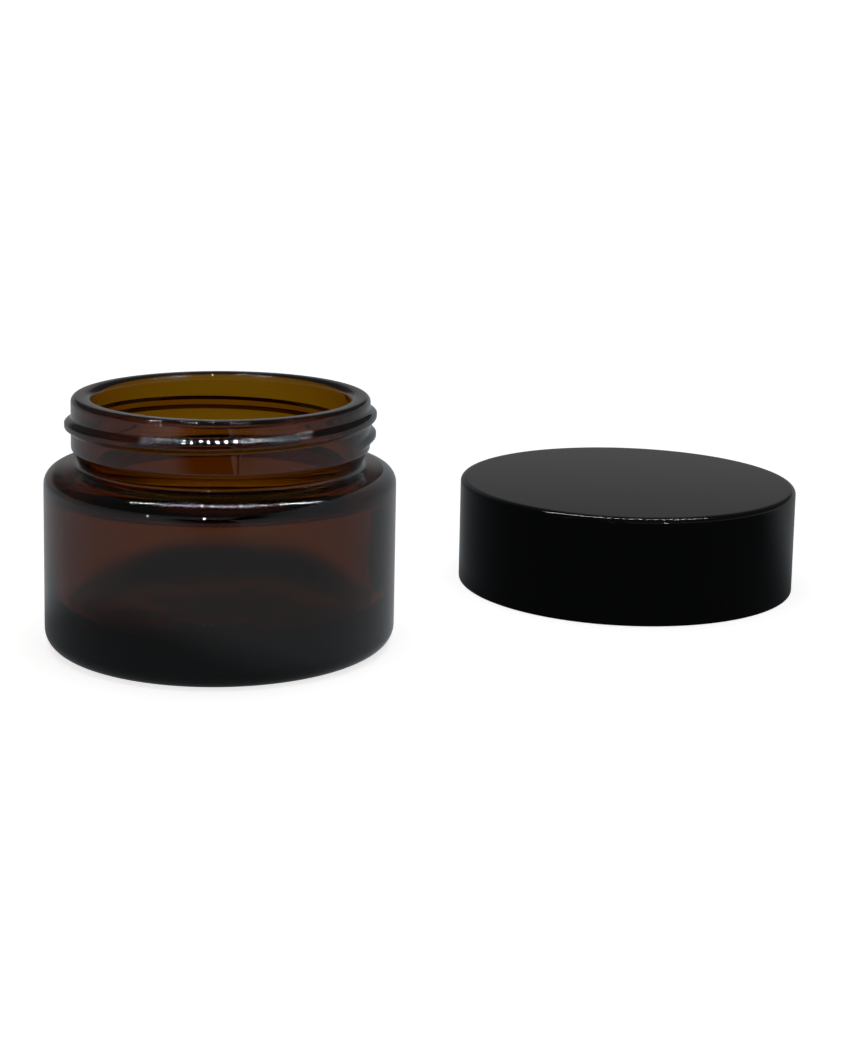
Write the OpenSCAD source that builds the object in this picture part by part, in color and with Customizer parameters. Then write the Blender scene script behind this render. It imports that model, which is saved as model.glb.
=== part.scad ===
// Cosmetic cream jar: an open glass jar and the screw lid that lies beside it.
// Millimetres, +Z up. The origin is the centre of the jar's base on the surface that it stands on.

/* [Jar body] */
// Outer diameter of the jar body
body_d = 60; // [56:0.5:66]
// Height of the jar from the surface to the top of the lip
jar_h = 42.7; // [40:0.1:46]
// Height at which the shoulder meets the neck
shoulder_h = 30.8; // [28:0.1:31]
// Outer radius round the foot
heel_r = 3; // [2:0.1:4]
// Outer radius round the shoulder
shoulder_r = 2.6; // [1.5:0.1:3]
// Thickness of the side wall
wall = 3.4; // [2.5:0.1:4.5]
// Thickness of the floor over the bearing ring
floor_t = 4.8; // [4:0.1:6]
// Height of the hollow under the middle of the base
push_up = 1.1; // [0.5:0.1:1.6]
// Width of the flat ring that the jar stands on
bearing_w = 2.6; // [1.5:0.1:4]

/* [Neck] */
// Outer diameter of the neck under the thread
neck_d = 50.8; // [50:0.1:51.2]
// Diameter over the thread
thread_d = 53; // [52.6:0.1:53.4]
// Rise of the thread in one turn
pitch = 3.75; // [3.6:0.05:3.9]
// Inner diameter of the mouth
mouth_d = 43.6; // [42:0.1:44.5]
// Outer diameter of the waist under the neck
waist_d = 48.4; // [47.8:0.1:49]
// Height of the waist over the shoulder
waist_h = 2.8; // [2.4:0.1:3]

/* [Lid] */
// Outer diameter of the lid
lid_d = 64.5; // [61:0.1:65]
// Height of the lid
lid_h = 19.8; // [18.6:0.1:20]
// Radius round the lid's top edge
lid_edge_r = 0.9; // [0.5:0.1:1.4]
// Thickness of the lid's outer shell
shell_t = 1.5; // [1.2:0.1:1.8]
// Thickness of the threaded insert
insert_t = 1.3; // [1.1:0.1:1.5]
// Thickness of the sealing wad
wad_t = 1.2; // [1:0.1:1.3]

/* [Lid position] */
// Distance of the lid's axis to the right of the jar's axis
lid_x = 75.8; // [70:0.1:100]
// Distance of the lid's axis behind the jar's axis
lid_y = 40.1; // [-40:0.1:60]

/* [Hidden] */
round_fn = 96;
sweep_step = 8;
arc_steps = 6;

body_r = body_d / 2;
neck_r = neck_d / 2;
waist_r = waist_d / 2;
mouth_r = mouth_d / 2;
cavity_r = body_r - wall;
cavity_corner_r = 5;
floor_dish = 0.6;
lip_out_r = 0.9;
lip_in_r = 1.3;
waist_fillet = 0.6;
bead_fillet = 0.5;
neck_bottom = shoulder_h + waist_h;
bearing_out_r = body_r - heel_r;
bearing_in_r = bearing_out_r - bearing_w;
shoulder_drop = 0.4;
shoulder_turn = 80;
bead_turn = 75;
base_steps = 5;

// Inside the shoulder: a flat roof with a rounded throat above it and a rounded corner beside it.
roof_z = shoulder_h - wall;
throat_r = 1;
roof_corner_r = 2;

// A low round ridge on the jar's floor, all the way round.
mark_r = 9.6;
mark_w = 1.2;
mark_h = 0.4;
mark_steps = 8;

// The neck thread: angles in degrees about the jar's axis, 0 at +X, and the height at angle 0.
thread_root_w = 2.6;
thread_crest_w = 0.9;
thread_drop = 3;
thread_z = jar_h - thread_drop;
thread_start = -385;
thread_end = 30;
thread_run_out = 32;
thread_embed = 0.4;
// Share of the thread's full width that is left at its very ends.
thread_end_share = 0.5;

// The lid's own thread runs a little under the neck's, which pulls the lid down.
seat_gap = 0.5;
closed_z = shoulder_h + seat_gap;
crest_gap = 0.4;
root_gap = 0.6;
lid_crest_r = neck_r + crest_gap;
lid_root_r = thread_d / 2 + root_gap;
lid_thread_root_w = 2.2;
lid_thread_crest_w = 0.8;
flank_offset = 1.6;
lid_thread_z = thread_z - closed_z - flank_offset;
lid_thread_start = -330;
lid_thread_end = 90;

// Heights inside the lid, from the surface that it lies on.
insert_foot = 0.6;
wad_gap = 0.1;
wad_z = jar_h - closed_z;
insert_under = wad_z + wad_t + wad_gap;
insert_top = insert_under + insert_t;
wad_side_gap = 0.3;
wad_r = lid_root_r - wad_side_gap;
// The ring inside the insert that keeps the wad from dropping out.
wad_stop_hold = 0.4;
wad_stop_r = wad_r - wad_stop_hold;
wad_stop_h = 0.35;
wad_stop_z = wad_z - wad_gap;
insert_out_r = lid_root_r + insert_t;
shell_in_r = lid_d / 2 - shell_t;
shell_under = lid_h - shell_t;
foot_flange_h = 1.2;
lead_in_h = 0.8;
lead_in_w = 0.5;
rib_count = 24;
rib_w = 0.9;
hub_r = 20;
hub_t = 1.2;
foot_edge_r = 0.3;
// How far one solid runs into the next where they are joined.
overlap = 0.2;

// Points along an arc, from angle a to angle b.
function arc(cx, cy, r, a, b, n = arc_steps) =
    [for (i = [0:n]) [cx + r * cos(a + (b - a) * i / n), cy + r * sin(a + (b - a) * i / n)]];

// 0 at both ends of the thread and 1 along its length, with a smooth run-out.
function fade(a, from, to, run) =
    let (t = max(0, min(1, (a - from) / run, (to - a) / run)))
    t * t * (3 - 2 * t);

// One section of a thread ridge that stands out (or in) from root_r to crest_r.
function ridge_section(a, z, root_r, crest_r, root_w, crest_w) =
    [for (p = [[root_r, -root_w], [crest_r, -crest_w], [crest_r, crest_w], [root_r, root_w]])
        [p[0] * cos(a), p[0] * sin(a), z + p[1] / 2]];

// A helical ridge from angle start to angle end. buried is the root's depth inside its wall.
module ridge(wall_r, crest_r, root_w, crest_w, z0, start, end, buried) {
    dir = sign(crest_r - wall_r);
    root_r = wall_r - dir * buried;
    low_r = wall_r - dir * buried / 2;
    count = round((end - start) / sweep_step);
    angles = [for (i = [0:count]) start + (end - start) * i / count];
    points = [for (a = angles)
        let (f = fade(a, start, end, thread_run_out))
        let (share = thread_end_share + (1 - thread_end_share) * f)
        for (p = ridge_section(a, z0 + pitch * a / 360, root_r, low_r + (crest_r - low_r) * f,
                root_w * share, crest_w * share)) p];
    sides = [for (i = [0:count - 1], k = [0:3])
        let (n = (k + 1) % 4)
        [4 * i + k, 4 * i + n, 4 * i + 4 + n, 4 * i + 4 + k]];
    last = 4 * count;
    caps = [[3, 2, 1, 0], [last, last + 1, last + 2, last + 3]];
    faces = concat(sides, caps);
    polyhedron(points, dir > 0 ? faces : [for (f = faces) [for (k = [3:-1:0]) f[k]]], convexity = 8);
}

// The outside of the jar, from the middle of the base out, up the side and in over the lip.
function jar_outside() = concat(
    [for (i = [0:base_steps]) [bearing_in_r * i / base_steps, push_up * (1 - pow(i / base_steps, 2))]],
    arc(bearing_out_r, heel_r, heel_r, -90, 0),
    arc(body_r - shoulder_r, shoulder_h - shoulder_drop - shoulder_r, shoulder_r, 0, shoulder_turn),
    arc(waist_r + waist_fillet, shoulder_h + waist_fillet, waist_fillet, 270, 180, 4),
    arc(neck_r - bead_fillet, neck_bottom + bead_fillet, bead_fillet, -bead_turn, 0, 4),
    arc(neck_r - lip_out_r, jar_h - lip_out_r, lip_out_r, 0, 90)
);

// Height of the dished floor inside the jar at radius r.
function floor_z(r) = floor_t - floor_dish * (1 - r / (cavity_r - cavity_corner_r));

// One point across the floor's ridge, with t from -1 at its inner edge to 1 at its outer edge.
function mark_point(t) = [mark_r + t * mark_w / 2, floor_z(mark_r) + mark_h * (1 + cos(180 * t)) / 2];

// The inside of the jar, from the lip down the mouth, out under the shoulder and in over the floor.
function jar_inside() = concat(
    arc(mouth_r + lip_in_r, jar_h - lip_in_r, lip_in_r, 90, 180),
    arc(mouth_r + throat_r, roof_z + throat_r, throat_r, 180, 270, 4),
    arc(cavity_r - roof_corner_r, roof_z - roof_corner_r, roof_corner_r, 90, 0),
    arc(cavity_r - cavity_corner_r, floor_t + cavity_corner_r, cavity_corner_r, 0, -90),
    [for (i = [mark_steps:-1:0]) mark_point(2 * i / mark_steps - 1)],
    [[0, floor_z(0)]]
);

module glass_jar() {
    color([0.35, 0.16, 0.03, 0.6])
    union() {
        rotate_extrude($fn = round_fn) polygon(concat(jar_outside(), jar_inside()));
        ridge(neck_r, thread_d / 2, thread_root_w, thread_crest_w, thread_z,
            thread_start, thread_end, thread_embed);
    }
}

module lid_shell() {
    hub_h = shell_under - insert_top;
    color([0.03, 0.035, 0.035])
    translate([lid_x, lid_y, 0]) {
        rotate_extrude($fn = round_fn) polygon(concat(
            [[shell_in_r, foot_edge_r]],
            [[shell_in_r + foot_edge_r, 0]],
            arc(lid_d / 2 - foot_edge_r, foot_edge_r, foot_edge_r, -90, 0, 3),
            arc(lid_d / 2 - lid_edge_r, lid_h - lid_edge_r, lid_edge_r, 0, 90),
            [[0, lid_h], [0, shell_under], [shell_in_r, shell_under]]
        ));
        // The hub ring that presses on the insert.
        translate([0, 0, insert_top])
        rotate_extrude($fn = round_fn)
        translate([hub_r - hub_t, 0])
        square([hub_t, hub_h + overlap]);
    }
}

module lid_insert() {
    flange_top = insert_foot + foot_flange_h;
    rib_foot = insert_foot + foot_flange_h / 2;
    color([0.05, 0.05, 0.05])
    translate([lid_x, lid_y, 0]) union() {
        rotate_extrude($fn = round_fn) polygon([
            [0, insert_under],
            [lid_root_r, insert_under],
            [lid_root_r, wad_stop_z],
            [wad_stop_r, wad_stop_z - wad_stop_h / 2],
            [lid_root_r, wad_stop_z - wad_stop_h],
            [lid_root_r, insert_foot + lead_in_h],
            [lid_root_r + lead_in_w, insert_foot],
            [shell_in_r, insert_foot],
            [shell_in_r, flange_top],
            [insert_out_r, flange_top],
            [insert_out_r, insert_top],
            [0, insert_top]
        ]);
        ridge(lid_root_r, lid_crest_r, lid_thread_root_w, lid_thread_crest_w, lid_thread_z,
            lid_thread_start, lid_thread_end, thread_embed);
        // Ribs that centre the insert in the shell.
        for (i = [0:rib_count - 1])
            rotate(i * 360 / rib_count)
            translate([insert_out_r - overlap, -rib_w / 2, rib_foot])
            cube([shell_in_r - insert_out_r, rib_w, insert_top - rib_foot]);
    }
}

module liner_wad() {
    color([0.93, 0.93, 0.9])
    translate([lid_x, lid_y, wad_z])
    cylinder(h = wad_t, r = wad_r, $fn = round_fn);
}

glass_jar();
lid_shell();
lid_insert();
liner_wad();
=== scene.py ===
# Looks for the cosmetic cream jar: an open amber glass jar and the black screw lid that lies beside it.
# Lengths are in metres in the CAD frame; MM turns the millimetres of a drawing into metres.
import math

import bpy
from mathutils import Matrix, Vector, noise


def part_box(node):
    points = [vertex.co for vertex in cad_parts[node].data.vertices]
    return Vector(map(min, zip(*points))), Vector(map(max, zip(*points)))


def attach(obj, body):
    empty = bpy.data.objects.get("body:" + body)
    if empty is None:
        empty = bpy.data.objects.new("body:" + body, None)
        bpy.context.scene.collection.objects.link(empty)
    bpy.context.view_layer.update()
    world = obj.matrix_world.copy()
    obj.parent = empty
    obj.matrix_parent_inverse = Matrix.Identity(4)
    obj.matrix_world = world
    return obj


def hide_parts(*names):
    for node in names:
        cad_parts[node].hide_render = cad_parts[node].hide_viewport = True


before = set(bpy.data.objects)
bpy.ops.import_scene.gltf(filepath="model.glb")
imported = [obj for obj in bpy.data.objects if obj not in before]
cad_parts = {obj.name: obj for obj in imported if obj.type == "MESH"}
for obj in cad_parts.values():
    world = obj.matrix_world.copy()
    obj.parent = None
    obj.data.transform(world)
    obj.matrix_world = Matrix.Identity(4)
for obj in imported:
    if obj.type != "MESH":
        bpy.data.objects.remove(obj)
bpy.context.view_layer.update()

MM = 0.001
JAR_LOW, JAR_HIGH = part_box("glass_jar")
LID_LOW, LID_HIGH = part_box("lid_shell")
WAD_LOW, WAD_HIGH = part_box("liner_wad")
INSERT_LOW, INSERT_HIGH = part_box("lid_insert")
LID_AXIS = ((LID_LOW.x + LID_HIGH.x) / 2, (LID_LOW.y + LID_HIGH.y) / 2)

# Jar, in millimetres. The same sections as the CAD solid, with softer corners.
BODY_R = JAR_HIGH.x / MM
JAR_H = JAR_HIGH.z / MM
SHOULDER_H, SHOULDER_R, SHOULDER_DROP = 30.8, 2.6, 0.4
HEEL_R, BEARING_W, PUSH_UP = 3.0, 2.6, 1.1
NECK_R, WAIST_R, WAIST_H, MOUTH_R = 25.4, 24.2, 2.8, 21.8
WALL, ROOF_CORNER, THROAT_R = 3.4, 2.0, 1.0
FLOOR_T, FLOOR_DISH, CAVITY_CORNER = 4.8, 0.6, 5.0
MARK_R, MARK_W, MARK_H = 9.6, 1.2, 0.4
LIP_OUT, LIP_IN = 0.9, 1.3
THREAD_R, THREAD_PITCH, THREAD_RUN_OUT = 26.5, 3.75, 32.0
NECK_THREAD = {"height": JAR_H - 3.0, "start": -385.0, "end": 30.0, "root": 1.35, "crest": 0.3}

# Lid, in millimetres from the surface that it lies on.
LID_R = (LID_HIGH.x - LID_LOW.x) / 2 / MM
LID_H = LID_HIGH.z / MM
LID_EDGE, SHELL_T, GRIP_EDGE = 0.9, 1.5, 0.3
INSERT_FOOT = INSERT_LOW.z / MM
INSERT_TOP = INSERT_HIGH.z / MM
INSERT_ROOT_R, INSERT_CREST_R, INSERT_T, FLANGE_H = 27.1, 25.8, 1.3, 1.2
RIB_COUNT, RIB_W = 24, 0.9
LID_THREAD = {"height": 6.8, "start": -330.0, "end": 90.0, "root": 1.15, "crest": 0.3}
WAD_R = (WAD_HIGH.x - WAD_LOW.x) / 2 / MM
WAD_Z, WAD_TOP = WAD_LOW.z / MM, WAD_HIGH.z / MM


# Small helpers

def arc(cx, cz, r, start, end, steps=8):
    """(radius, height) points along an arc from one angle to another, in degrees."""
    angles = [math.radians(start + (end - start) * i / steps) for i in range(steps + 1)]
    return [(cx + r * math.cos(a), cz + r * math.sin(a)) for a in angles]


def fine(points, step):
    """The same line with points added, so that none are further apart than step(radius, height)."""
    line = [points[0]]
    for (r0, z0), (r1, z1) in zip(points, points[1:]):
        length = math.hypot(r1 - r0, z1 - z0)
        if length < 1e-6:
            continue
        count = max(1, math.ceil(length / step((r0 + r1) / 2, (z0 + z1) / 2)))
        line += [(r0 + (r1 - r0) * i / count, z0 + (z1 - z0) * i / count) for i in range(1, count + 1)]
    return line


def soften(points, passes):
    """Rounds the corners of a line by averaging each inner point with its neighbours."""
    for _ in range(passes):
        inner = [
            ((a[0] + 2 * b[0] + c[0]) / 4, (a[1] + 2 * b[1] + c[1]) / 4)
            for a, b, c in zip(points, points[1:], points[2:])
        ]
        points = [points[0], *inner, points[-1]]
    return points


def smooth_step(low, high, x):
    """0 below low, 1 above high, with a smooth turn between them."""
    t = min(1.0, max(0.0, (x - low) / (high - low)))
    return t * t * (3 - 2 * t)


def turn_angles(count, seams=()):
    """Angles once round, in degrees, closer together beside each mould seam."""
    even = [360 * i / count for i in range(count)]
    near = [s + d * 0.22 for s in seams for d in range(-4, 5)]
    clear = [a for a in even if all(abs((a - s + 180) % 360 - 180) > 1.1 for s in seams)]
    return sorted(clear + [a % 360 for a in near])


def skin(name, rows, angles, place, axis=(0.0, 0.0)):
    """A closed skin turned about a vertical axis. rows runs from the axis out and back to the axis;
    place(row, angle) gives the (radius, height) in millimetres of one point of it."""
    verts, faces = [], []
    count = len(angles)
    for row in rows[1:-1]:
        for angle in angles:
            r, z = place(row, angle)
            a = math.radians(angle)
            verts.append((axis[0] + r * MM * math.cos(a), axis[1] + r * MM * math.sin(a), z * MM))
    for i in range(len(rows) - 3):
        for j in range(count):
            k = (j + 1) % count
            faces.append((i * count + j, i * count + k, (i + 1) * count + k, (i + 1) * count + j))
    first, last = len(verts), len(verts) + 1
    verts.append((axis[0], axis[1], rows[0][1] * MM))
    verts.append((axis[0], axis[1], rows[-1][1] * MM))
    top = (len(rows) - 3) * count
    for j in range(count):
        k = (j + 1) % count
        faces.append((first, k, j))
        faces.append((last, top + j, top + k))
    return add_piece(name, verts, faces)


def add_piece(name, verts, faces):
    """A smooth-shaded mesh object in the scene."""
    mesh = bpy.data.meshes.new(name)
    mesh.from_pydata(verts, [], faces)
    mesh.validate()
    for polygon in mesh.polygons:
        polygon.use_smooth = True
    piece = bpy.data.objects.new(name, mesh)
    bpy.context.scene.collection.objects.link(piece)
    return piece


# The jar

SEAM_ANGLES = (-80.0, 100.0)


def thread_rise(thread, angle, z):
    """From 0 on the wall to 1 on the crest of a screw thread, at this angle and height."""
    rise = 0.0
    for turn in (-2, -1, 0):
        a = angle + 360 * turn
        if thread["start"] < a < thread["end"]:
            off = abs(z - (thread["height"] + THREAD_PITCH * a / 360))
            ends = smooth_step(0, THREAD_RUN_OUT, min(a - thread["start"], thread["end"] - a))
            wide = 0.75 + 0.25 * ends
            rise = max(rise, ends * (1 - smooth_step(thread["crest"] * wide, thread["root"] * wide, off)))
    return rise


def outside_line():
    """The outside of the jar from the middle of the base to the top of the lip."""
    bearing_out = BODY_R - HEEL_R
    bearing_in = bearing_out - BEARING_W
    top = SHOULDER_H - SHOULDER_DROP
    return (
        [(bearing_in * t / 12, PUSH_UP * (1 - (t / 12) ** 2)) for t in range(13)]
        + arc(bearing_out, HEEL_R, HEEL_R, -90, 0, 14)
        + arc(BODY_R - SHOULDER_R, top - SHOULDER_R, SHOULDER_R, 0, 80, 14)
        + arc(WAIST_R + 0.6, SHOULDER_H + 0.6, 0.6, 270, 180, 6)
        + arc(NECK_R - 0.5, SHOULDER_H + WAIST_H + 0.5, 0.5, -75, 0, 6)
        + arc(NECK_R - LIP_OUT, JAR_H - LIP_OUT, LIP_OUT, 0, 90, 10)
    )


def inside_line():
    """The inside of the jar from the top of the lip to the middle of the floor."""
    cavity = BODY_R - WALL
    roof = SHOULDER_H - WALL
    mark_z = FLOOR_T - FLOOR_DISH * (1 - MARK_R / (cavity - CAVITY_CORNER))
    across = [t / 8 for t in range(8, -9, -1)]
    mark = [(MARK_R + MARK_W * t / 2, mark_z + MARK_H * (1 + math.cos(math.pi * t)) / 2) for t in across]
    return (
        arc(MOUTH_R + LIP_IN, JAR_H - LIP_IN, LIP_IN, 90, 180, 12)
        + arc(MOUTH_R + THROAT_R, roof + THROAT_R, THROAT_R, 180, 270, 8)
        + arc(cavity - ROOF_CORNER, roof - ROOF_CORNER, ROOF_CORNER, 90, 0, 10)
        + arc(cavity - CAVITY_CORNER, FLOOR_T + CAVITY_CORNER, CAVITY_CORNER, 0, -90, 14)
        + mark
        + [(0, FLOOR_T - FLOOR_DISH)]
    )


def outside_step(r, z):
    """Point spacing along the outside: fine on the neck and shoulder, coarse on the straight side."""
    if z > SHOULDER_H + WAIST_H:
        return 0.12
    if z > SHOULDER_H - 4 or (z < HEEL_R + 1 and r > 20):
        return 0.25
    return 0.9


def inside_step(r, z):
    """Point spacing along the inside: fine at the throat, the roof's corner and the floor's ring."""
    if z < FLOOR_T + 1 and abs(r - MARK_R) < MARK_W:
        return 0.1
    return 0.3 if z > 24 and (r > MOUTH_R + 0.1 or z > JAR_H - 2) else 0.9


def glass_rows():
    """Rows of the jar's skin as (radius, height, side)."""
    outside = soften(fine(outside_line(), outside_step), 3)
    inside = soften(fine(inside_line(), inside_step), 3)
    return [(r, z, "out") for r, z in outside] + [(r, z, "in") for r, z in inside[1:]]


def seam_rise(angle):
    """Height of the two mould seams, which run up opposite sides."""
    near = min(abs((angle - s + 180) % 360 - 180) for s in SEAM_ANGLES)
    return 0.05 * (1 - smooth_step(0.1, 0.6, near))


def glass_point(row, angle):
    """One point of the jar: the turned section with the thread, mould seams, stipple and uneven inside."""
    r, z, side = row
    a = math.radians(angle)
    if side == "out":
        if SHOULDER_H + WAIST_H < z < JAR_H - 0.6:
            lift = (THREAD_R - NECK_R) * thread_rise(NECK_THREAD, angle, z)
            return r + max(lift, seam_rise(angle)), z
        bearing = BODY_R - HEEL_R - BEARING_W / 2
        ring = 1 - smooth_step(0.7, 1.5, abs(r - bearing))
        if z < 1 and ring > 0:
            z += 0.1 * ring * (0.5 + 0.5 * math.sin(90 * a)) * (0.5 + 0.5 * math.cos(7 * (r - bearing)))
        return r, z
    uneven = noise.noise(Vector((2.2 * math.cos(a), 2.2 * math.sin(a), z * 0.11)))
    cavity = 1 - smooth_step(SHOULDER_H - 5, SHOULDER_H + 3, z)
    away = smooth_step(2, 8, r)
    return r + 0.16 * uneven * cavity * away, z + 0.1 * uneven * (1 - smooth_step(4, 12, z)) * away


def build_jar():
    """The glass jar as one closed skin."""
    jar = skin("jar_glass", glass_rows(), turn_angles(220, SEAM_ANGLES), glass_point)
    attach(jar, "jar")
    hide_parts("glass_jar")
    return jar


# Materials

def new_material(name):
    """A node material and its Principled shader."""
    material = bpy.data.materials.new(name)
    material.use_nodes = True
    return material, material.node_tree.nodes["Principled BSDF"]


def node(material, kind, **settings):
    """A node in the material, with its settings or the values of its sockets."""
    made = material.node_tree.nodes.new(kind)
    for key, value in settings.items():
        if hasattr(made, key):
            setattr(made, key, value)
        else:
            made.inputs[key.replace("_", " ")].default_value = value
    return made


def link(material, source, target):
    """Joins an output socket to an input socket."""
    material.node_tree.links.new(source, target)


def grain(material, scale, detail=3.0):
    """Noise fixed to the object, with scale in features per metre."""
    place = node(material, "ShaderNodeTexCoord")
    made = node(material, "ShaderNodeTexNoise", Scale=scale, Detail=detail)
    link(material, place.outputs["Object"], made.inputs["Vector"])
    return made.outputs["Fac"]


def spread(material, source, low, high, from_low=0.3, from_high=0.7):
    """A source from 0 to 1 spread over a range of values."""
    made = node(material, "ShaderNodeMapRange")
    made.inputs["From Min"].default_value = from_low
    made.inputs["From Max"].default_value = from_high
    made.inputs["To Min"].default_value = low
    made.inputs["To Max"].default_value = high
    link(material, source, made.inputs["Value"])
    return made.outputs["Result"]


def bump(material, shader, source, distance, strength=1.0):
    """Relief from a height source, distance in metres."""
    made = node(material, "ShaderNodeBump", Strength=strength, Distance=distance)
    link(material, source, made.inputs["Height"])
    link(material, made.outputs["Normal"], shader.inputs["Normal"])


def amber_glass():
    """Clear amber glass that darkens with thickness, with a faintly uneven skin."""
    material, shader = new_material("amber_glass_look")
    shader.inputs["Base Color"].default_value = (1, 1, 1, 1)
    shader.inputs["IOR"].default_value = 1.52
    shader.inputs["Transmission Weight"].default_value = 1.0
    link(material, spread(material, grain(material, 300), 0.0, 0.03), shader.inputs["Roughness"])
    bump(material, shader, grain(material, 140, 0.0), 0.00003, 0.4)
    tint = node(material, "ShaderNodeVolumeAbsorption", Density=1500.0)
    tint.inputs["Color"].default_value = (0.842, 0.69, 0.0, 1)
    out = material.node_tree.nodes["Material Output"]
    link(material, tint.outputs["Volume"], out.inputs["Volume"])
    return material


def black_gloss():
    """Polished black moulded plastic."""
    material, shader = new_material("black_shell_look")
    shader.inputs["Base Color"].default_value = (0.0012, 0.0014, 0.0016, 1)
    shader.inputs["IOR"].default_value = 1.46
    link(material, spread(material, grain(material, 1500), 0.05, 0.09), shader.inputs["Roughness"])
    bump(material, shader, grain(material, 2500, 2.0), 0.000002, 0.5)
    return material


def black_matte():
    """Black moulded plastic with a fine spark-eroded texture."""
    material, shader = new_material("black_insert_look")
    shader.inputs["Base Color"].default_value = (0.012, 0.012, 0.013, 1)
    link(material, spread(material, grain(material, 4000), 0.4, 0.6), shader.inputs["Roughness"])
    bump(material, shader, grain(material, 9000), 0.00002, 0.4)
    return material


def white_foam():
    """White foamed plastic with fine cells."""
    material, shader = new_material("white_foam_look")
    shader.inputs["Base Color"].default_value = (0.82, 0.81, 0.78, 1)
    link(material, spread(material, grain(material, 2500), 0.7, 0.9), shader.inputs["Roughness"])
    bump(material, shader, grain(material, 7000), 0.00005, 0.6)
    return material


def paint(piece, material):
    """Gives a piece its one material."""
    piece.data.materials.clear()
    piece.data.materials.append(material)


# The lid

def lid_line():
    """The outer shell from the axis under the top, down the inside, round the foot and over the top."""
    inner = LID_R - SHELL_T
    under = LID_H - SHELL_T
    return (
        [(0, under), (inner - 0.4, under)]
        + [(inner, under - 0.4), (inner, GRIP_EDGE)]
        + [(inner + GRIP_EDGE, 0)]
        + arc(LID_R - GRIP_EDGE, GRIP_EDGE, GRIP_EDGE, -90, 0, 6)
        + arc(LID_R - LID_EDGE, LID_H - LID_EDGE, LID_EDGE, 0, 90, 16)
        + [(0, LID_H)]
    )


def build_lid():
    """The glossy outer shell as one closed skin."""
    rows = fine(lid_line(), lambda r, z: 0.8)
    lid = skin("lid_cover", rows, turn_angles(240), lambda row, angle: row, LID_AXIS)
    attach(lid, "lid")
    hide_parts("lid_shell")
    return lid


def insert_line():
    """The threaded insert from the axis under its top, down its thread, round its foot and over its back."""
    under = INSERT_TOP - INSERT_T
    stop = WAD_Z - 0.1
    outer = INSERT_ROOT_R + INSERT_T
    flange = INSERT_FOOT + FLANGE_H
    wide = LID_R - SHELL_T
    return [
        (0, under), (INSERT_ROOT_R, under), (INSERT_ROOT_R, stop),
        (WAD_R - 0.4, stop - 0.18), (INSERT_ROOT_R, stop - 0.35),
        (INSERT_ROOT_R, INSERT_FOOT + 0.8), (INSERT_ROOT_R + 0.5, INSERT_FOOT),
        (wide, INSERT_FOOT), (wide, flange), (outer, flange), (outer, INSERT_TOP), (0, INSERT_TOP),
    ]


def insert_point(row, angle):
    """One point of the insert: the turned section with its inner thread and outer ribs."""
    r, z = row
    on_wall = abs(r - INSERT_ROOT_R) < 0.02
    if on_wall and INSERT_FOOT + 0.9 < z < WAD_Z - 0.5:
        return r - (INSERT_ROOT_R - INSERT_CREST_R) * thread_rise(LID_THREAD, angle, z), z
    outer = INSERT_ROOT_R + INSERT_T
    if abs(r - outer) < 0.02 and z > INSERT_FOOT + FLANGE_H + 0.05:
        step = 360 / RIB_COUNT
        off = abs((angle + step / 2) % step - step / 2)
        if off < math.degrees(RIB_W / 2 / outer):
            return LID_R - SHELL_T - 0.2, z
    return r, z


def build_insert():
    """The matte inner part of the lid with its screw thread."""
    rib = math.degrees(RIB_W / 2 / (INSERT_ROOT_R + INSERT_T))
    edges = [360 / RIB_COUNT * i + d * rib for i in range(RIB_COUNT) for d in (-1.05, -0.95, 0.95, 1.05)]
    angles = sorted({round(a % 360, 3) for a in edges + [2 * i for i in range(180)]})
    rows = fine(insert_line(), lambda r, z: 0.15 if abs(r - INSERT_ROOT_R) < 0.1 else 1.5)
    insert = skin("lid_liner_cup", rows, angles, insert_point, LID_AXIS)
    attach(insert, "lid")
    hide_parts("lid_insert")
    return insert


def wad_point(row, angle):
    """One point of the wad, with the ring that the jar's lip has pressed into its underside."""
    r, z = row
    if z < (WAD_Z + WAD_TOP) / 2:
        press = smooth_step(22.4, 23.2, r) * (1 - smooth_step(24.4, 25.2, r))
        z += 0.12 * press
    return r, z


def build_wad():
    """The foam sealing disc in the top of the lid."""
    edge = 0.15
    line = (
        [(0, WAD_Z)]
        + arc(WAD_R - edge, WAD_Z + edge, edge, -90, 0, 3)
        + arc(WAD_R - edge, WAD_TOP - edge, edge, 0, 90, 3)
        + [(0, WAD_TOP)]
    )
    rows = fine(line, lambda r, z: 0.2 if r > 21 else 1.5)
    wad = skin("foam_wad", rows, turn_angles(180), wad_point, LID_AXIS)
    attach(wad, "wad")
    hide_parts("liner_wad")
    return wad


# Studio. The pale floor is seen by the camera alone. Mirrored and refracted rays meet a table with
# painted shadow and shade round the pieces, an evenly lit room and small lamps, all of them hidden
# from the camera.

ROOM_LIGHT, OVERHEAD_LIGHT = 0.27, 0.07
JAR_SHINE = 0.36
TABLE_TINT = (0.93, 1.0, 1.05)
TABLE_REACH = 0.45
DIVIDE_X = 0.0365
ROW_COUNT = 30
LOW_LAMP_TURNS = (-41, -6, 33)


def emitter(name, colour, strength):
    """A plain glowing material for a studio surface."""
    material = bpy.data.materials.new(name)
    material.use_nodes = True
    nodes = material.node_tree.nodes
    nodes.clear()
    glow = nodes.new("ShaderNodeEmission")
    glow.inputs["Color"].default_value = (*colour, 1)
    glow.inputs["Strength"].default_value = strength
    out = nodes.new("ShaderNodeOutputMaterial")
    material.node_tree.links.new(glow.outputs["Emission"], out.inputs["Surface"])
    return material


def seen_by(piece, camera=False, diffuse=False, glossy=False, transmission=False):
    """Which rays meet a studio surface."""
    piece.visible_camera = camera
    piece.visible_diffuse = diffuse
    piece.visible_glossy = glossy
    piece.visible_transmission = transmission
    piece.visible_volume_scatter = False
    piece.visible_shadow = False


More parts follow.
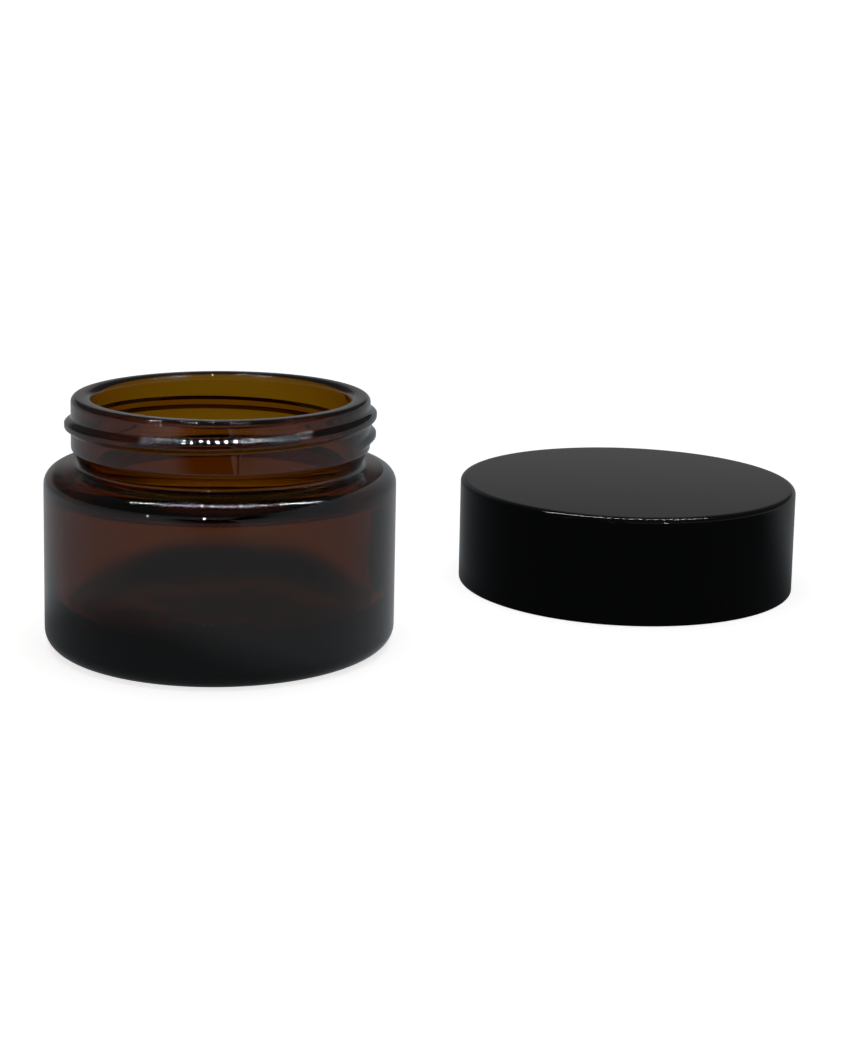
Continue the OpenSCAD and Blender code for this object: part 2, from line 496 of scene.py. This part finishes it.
def build_floor():
    """A plain pale floor that curves up into a plain backdrop all round."""
    line = [(0, 0), (0.9, 0)] + arc(1.6, 0.7, 0.7, -90, 0, 12) + [(2.3, 3.0)]
    angles = [math.radians(7.5 * j) for j in range(48)]
    verts = [(r * math.cos(a), r * math.sin(a), z) for r, z in line[1:] for a in angles]
    faces = [tuple(range(48))]
    for i in range(len(line) - 2):
        for j in range(48):
            k = (j + 1) % 48
            faces.append((i * 48 + j, (i + 1) * 48 + j, (i + 1) * 48 + k, i * 48 + k))
    floor = add_piece("studio_floor", verts, faces)
    material, shader = new_material("pale_floor")
    shader.inputs["Base Color"].default_value = (0.85, 0.85, 0.85, 1)
    shader.inputs["Roughness"].default_value = 0.9
    shader.inputs["Specular IOR Level"].default_value = 0.0
    shader.inputs["Emission Color"].default_value = (1, 1, 1, 1)
    # The soft lamp is weaker further out, so there the floor glows more.
    fade = fade_out(material, (0.05, 0, 0), (0.9, 0.9, 0.9), 0.2, 0.76, 1.0)
    link(material, fade, shader.inputs["Emission Strength"])
    paint(floor, material)
    seen_by(floor, camera=True)


def level_sheet(name, x0, x1, y0, y1):
    """A flat rectangle just under the floor."""
    corners = [(x0, y0), (x1, y0), (x1, y1), (x0, y1)]
    return add_piece(name, [(x, y, -0.2 * MM) for x, y in corners], [(0, 1, 2, 3)])


def fade_out(material, centre, reach, near_part, near, far):
    """A value that changes from near, round a centre, to far. reach is where it is fully far, along
    each axis, and near_part is the share of that distance over which it stays near."""
    place = node(material, "ShaderNodeNewGeometry")
    apart = node(material, "ShaderNodeVectorMath", operation="SUBTRACT")
    apart.inputs[1].default_value = centre
    link(material, place.outputs["Position"], apart.inputs[0])
    scaled = node(material, "ShaderNodeVectorMath", operation="DIVIDE")
    scaled.inputs[1].default_value = reach
    link(material, apart.outputs["Vector"], scaled.inputs[0])
    length = node(material, "ShaderNodeVectorMath", operation="LENGTH")
    link(material, scaled.outputs["Vector"], length.inputs[0])
    fade = node(material, "ShaderNodeMapRange", interpolation_type="SMOOTHSTEP")
    fade.inputs["From Min"].default_value = near_part
    fade.inputs["From Max"].default_value = 1.0
    fade.inputs["To Min"].default_value = near
    fade.inputs["To Max"].default_value = far
    link(material, length.outputs["Value"], fade.inputs["Value"])
    return fade.outputs["Result"]


def painted_shade_glow(name, centre, reach, dark_part, dark, light):
    """A glow that is dark round a centre and light beyond it: painted shade round that centre."""
    material = emitter(name, TABLE_TINT, light)
    fade = fade_out(material, centre, reach, dark_part, dark, light)
    link(material, fade, material.node_tree.nodes["Emission"].inputs["Strength"])
    return material


def build_room():
    """Soft even light from all round, dimmer overhead."""
    world = bpy.data.worlds.new("room")
    bpy.context.scene.world = world
    world.use_nodes = True
    tree = world.node_tree
    way = tree.nodes.new("ShaderNodeTexCoord")
    split = tree.nodes.new("ShaderNodeSeparateXYZ")
    tree.links.new(way.outputs["Generated"], split.inputs["Vector"])
    fade = tree.nodes.new("ShaderNodeMapRange")
    fade.interpolation_type = "SMOOTHSTEP"
    fade.inputs["From Min"].default_value = 0.14
    fade.inputs["From Max"].default_value = 0.3
    fade.inputs["To Min"].default_value = ROOM_LIGHT
    fade.inputs["To Max"].default_value = OVERHEAD_LIGHT
    tree.links.new(split.outputs["Z"], fade.inputs["Value"])
    tree.links.new(fade.outputs["Result"], tree.nodes["Background"].inputs["Strength"])
    tree.nodes["Background"].inputs["Color"].default_value = (1, 1, 0.99, 1)


def build_tables():
    """The glowing tables that are mirrored and seen through the glass, with painted shadow and shade
    round the pieces, and the card between the pieces, which keeps either piece from being mirrored
    in the other."""
    far = TABLE_REACH
    # Seen through the glass, the table behind is dark round the jar: a painted shadow of the jar, light
    # beyond it.
    behind = level_sheet("table_behind_painted_jar_shadow", -far, far, -far, far)
    paint(behind, painted_shade_glow("behind_painted_jar_shadow", (0, 0, 0), (0.036, 0.093, 1), 0.55, 0.0, ROOM_LIGHT))
    seen_by(behind, transmission=True)
    # By the jar the table has painted shade: dark far in front, which the neck mirrors, and dim beside the
    # foot.
    by_jar = level_sheet("table_by_jar", -far, DIVIDE_X, -far, far)
    paint(by_jar, painted_shade_glow("jar_table_painted_shade", (0, -0.26, 0), (0.15, 0.15, 1), 0.55, 0.0, JAR_SHINE))
    seen_by(by_jar, glossy=True)
    # Painted shade beside the jar's foot, which the foot mirrors.
    by_foot = level_sheet("table_by_foot", -0.08, DIVIDE_X, -0.08, 0.04)
    by_foot.location.z = 0.1 * MM
    paint(by_foot, painted_shade_glow("foot_painted_shade", (-0.02, -0.02, 0), (0.056, 0.055, 1), 0.5, 0.16, JAR_SHINE))
    seen_by(by_foot, glossy=True)
    # By the lid the table has painted shade: dark in front and lighter behind the lid's axis.
    by_lid = level_sheet("table_by_lid", DIVIDE_X, far, -far, far)
    lid_painted_shade = painted_shade_glow("lid_table_painted_shade", (LID_AXIS[0], -0.3, 0), (30, 0.37, 1), 0.86, 0.045, 0.2)
    paint(by_lid, lid_painted_shade)
    seen_by(by_lid, glossy=True)
    # The card has painted shade: dark where the neck mirrors it, high up and far in front.
    card_painted_shade = painted_shade_glow("card_painted_shade", (DIVIDE_X, -0.2, 0.04), (1, 0.17, 0.036), 0.6, 0.0, JAR_SHINE)
    build_card("card_by_jar", -0.1 * MM, card_painted_shade)
    build_card("card_by_lid", 0.1 * MM, lid_painted_shade)


def build_card(name, off, glow):
    """One face of the card between the pieces."""
    foot, high, front, back = -MM, 0.05, -0.25, 0.3
    outline = [(front, foot), (back, foot), (back, high), (front, high)]
    card = add_piece(name, [(DIVIDE_X + off, y, z) for y, z in outline], [(0, 1, 2, 3)])
    paint(card, glow)
    seen_by(card, glossy=True)


def add_lamp(verts, faces, middle, side, up):
    """Adds one flat lamp; side and up are half its width and half its height."""
    start = len(verts)
    verts += [tuple(middle + c) for c in (-side - up, side - up, side + up, up - side)]
    faces.append(tuple(range(start, start + 4)))


def build_lamps():
    """A long row of small bright lamps overhead and three more low in front of the jar."""
    verts, faces = [], []
    first, last = Vector((-0.17, 0.02, 0.3)), Vector((0.24, 0.02, 0.3))
    for i in range(ROW_COUNT):
        middle = first.lerp(last, i / (ROW_COUNT - 1))
        add_lamp(verts, faces, middle, Vector((2.5 * MM, 0, 0)), Vector((0, 6 * MM, 0)))
    for turn in LOW_LAMP_TURNS:
        a = math.radians(turn)
        middle = Vector((0.3 * math.sin(a), -0.3 * math.cos(a), 0.045))
        side = Vector((math.cos(a), math.sin(a), 0)) * 4 * MM
        add_lamp(verts, faces, middle, side, Vector((0, 0, 6 * MM)))
    lamps = add_piece("lamps", verts, faces)
    paint(lamps, emitter("lamp", (1, 1, 1), 150.0))
    seen_by(lamps, glossy=True)


def build_soft_box():
    """One large soft lamp overhead, which gives the floor its faint soft shadow."""
    lamp = bpy.data.lights.new("soft_box", "AREA")
    lamp.size = 1.0
    lamp.energy = 4.0
    holder = bpy.data.objects.new("soft_box", lamp)
    holder.location = (0.04, 0.0, 1.0)
    bpy.context.scene.collection.objects.link(holder)
    holder.visible_glossy = False
    holder.visible_transmission = False
    holder.visible_camera = False


def build_camera():
    """The camera, low in front of the jar, with its view shifted down to the pieces."""
    pitch, yaw, roll = 0.1484, 0.0398, 0.02
    ahead = Vector((math.sin(yaw) * math.cos(pitch), math.cos(yaw) * math.cos(pitch), -math.sin(pitch)))
    side = Vector((math.cos(yaw), -math.sin(yaw), 0))
    over = side.cross(ahead)
    right = side * math.cos(roll) + over * math.sin(roll)
    up = over * math.cos(roll) - side * math.sin(roll)
    lens = bpy.data.cameras.new("camera")
    lens.lens = 66.1
    lens.sensor_width = 36
    lens.shift_y = -0.1751
    lens.clip_start, lens.clip_end = 0.01, 20
    camera = bpy.data.objects.new("camera", lens)
    turn = Matrix((right, up, -ahead)).transposed().to_4x4()
    camera.matrix_world = Matrix.Translation(Vector((21.4, -328.4, 100.8)) * MM) @ turn
    bpy.context.scene.collection.objects.link(camera)
    bpy.context.scene.camera = camera
    bpy.context.scene.view_settings.view_transform = "Standard"


build_camera()
build_floor()
build_room()
build_tables()
build_lamps()
build_soft_box()
paint(build_jar(), amber_glass())
LID_PIECES = ((build_lid, black_gloss), (build_insert, black_matte), (build_wad, white_foam))
for build, look in LID_PIECES:
    piece = build()
    paint(piece, look())
    # Each piece is lit as if it stood alone, so the jar doesn't mirror the lid.
    piece.visible_glossy = False
